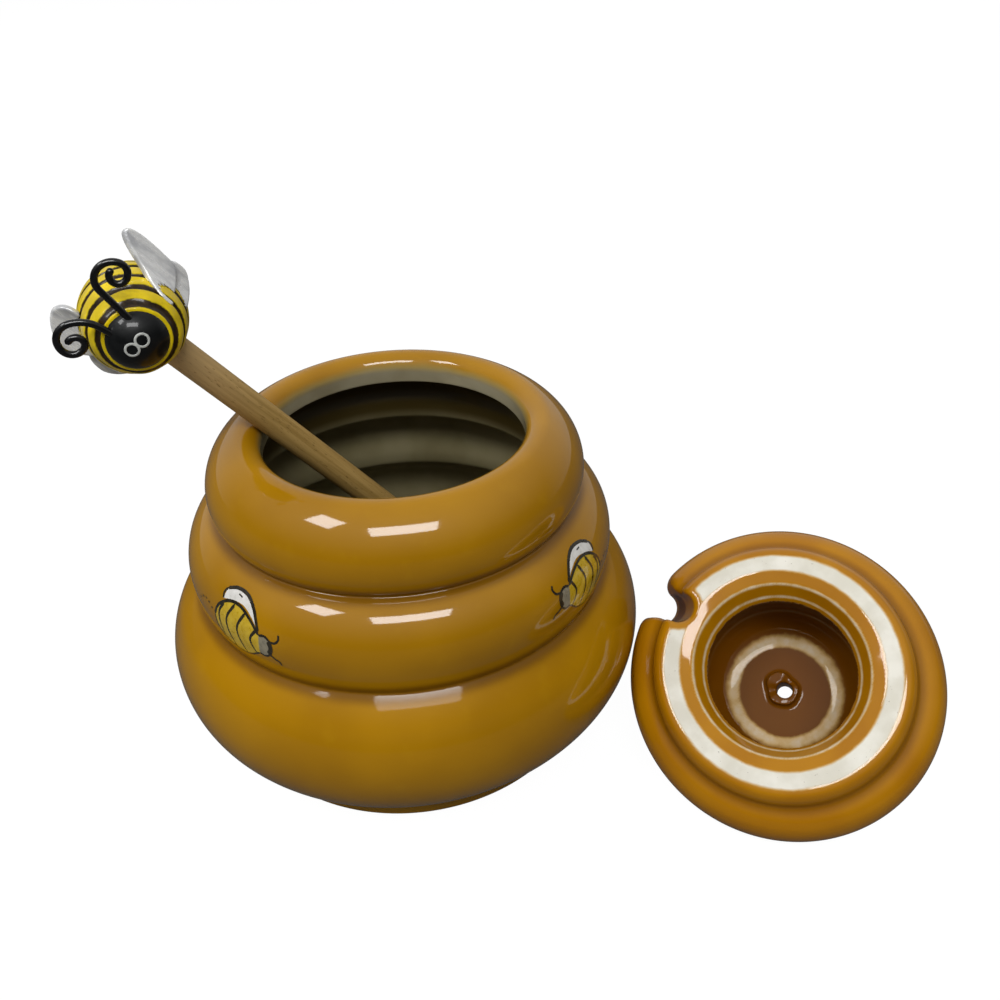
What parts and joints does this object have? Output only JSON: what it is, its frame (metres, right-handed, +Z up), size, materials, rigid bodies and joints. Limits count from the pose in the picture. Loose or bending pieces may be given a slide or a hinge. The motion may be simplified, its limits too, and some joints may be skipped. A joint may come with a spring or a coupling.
{
  "type": "beehive honey pot with dipper",
  "caption": "Lobed beehive honey pot in amber glaze with a loose notched lid set down beside it and a bee-topped wooden dipper leaning in its mouth.",
  "frame": {"origin": "middle of the foot ring's underside, on the surface that the pot stands on", "axes": "+Z up along the pot's axis; the open lid lies towards +X, and -Y is the side that the bee looks to"},
  "size_m": [0.1856, 0.1167, 0.1298],
  "materials": {
    "pot_glaze": "gloss amber glaze over a grey-white inside",
    "lid_glaze": "gloss amber glaze with a bare white drain ring",
    "beech": "plain sanded wood",
    "bee_yellow": "painted and varnished modelling clay with dark brown grooves",
    "bee_black": "gloss black varnish",
    "wing_silver": "pearl silver varnish",
    "wire_black": "gloss black coated wire"
  },
  "bodies": {
    "pot": {"pot_body": "pot_glaze"},
    "lid": {"lid": "lid_glaze"},
    "dipper": {"dipper_stick": "beech", "bee_body": "bee_yellow", "bee_head": "bee_black", "bee_wing_right": "wing_silver", "bee_wing_left": "wing_silver", "bee_antenna_right": "wire_black", "bee_antenna_left": "wire_black"}
  },
  "joints": [
    {"name": "lid_lift", "type": "slide", "parent": "pot", "child": "lid", "axis": [0, 0, 1], "range_m": [0, 0.1]},
    {"name": "dipper_draw", "type": "slide", "parent": "pot", "child": "dipper", "axis": [-0.0302, -0.171, 0.9848], "range_m": [0, 0.1]}
  ]
}
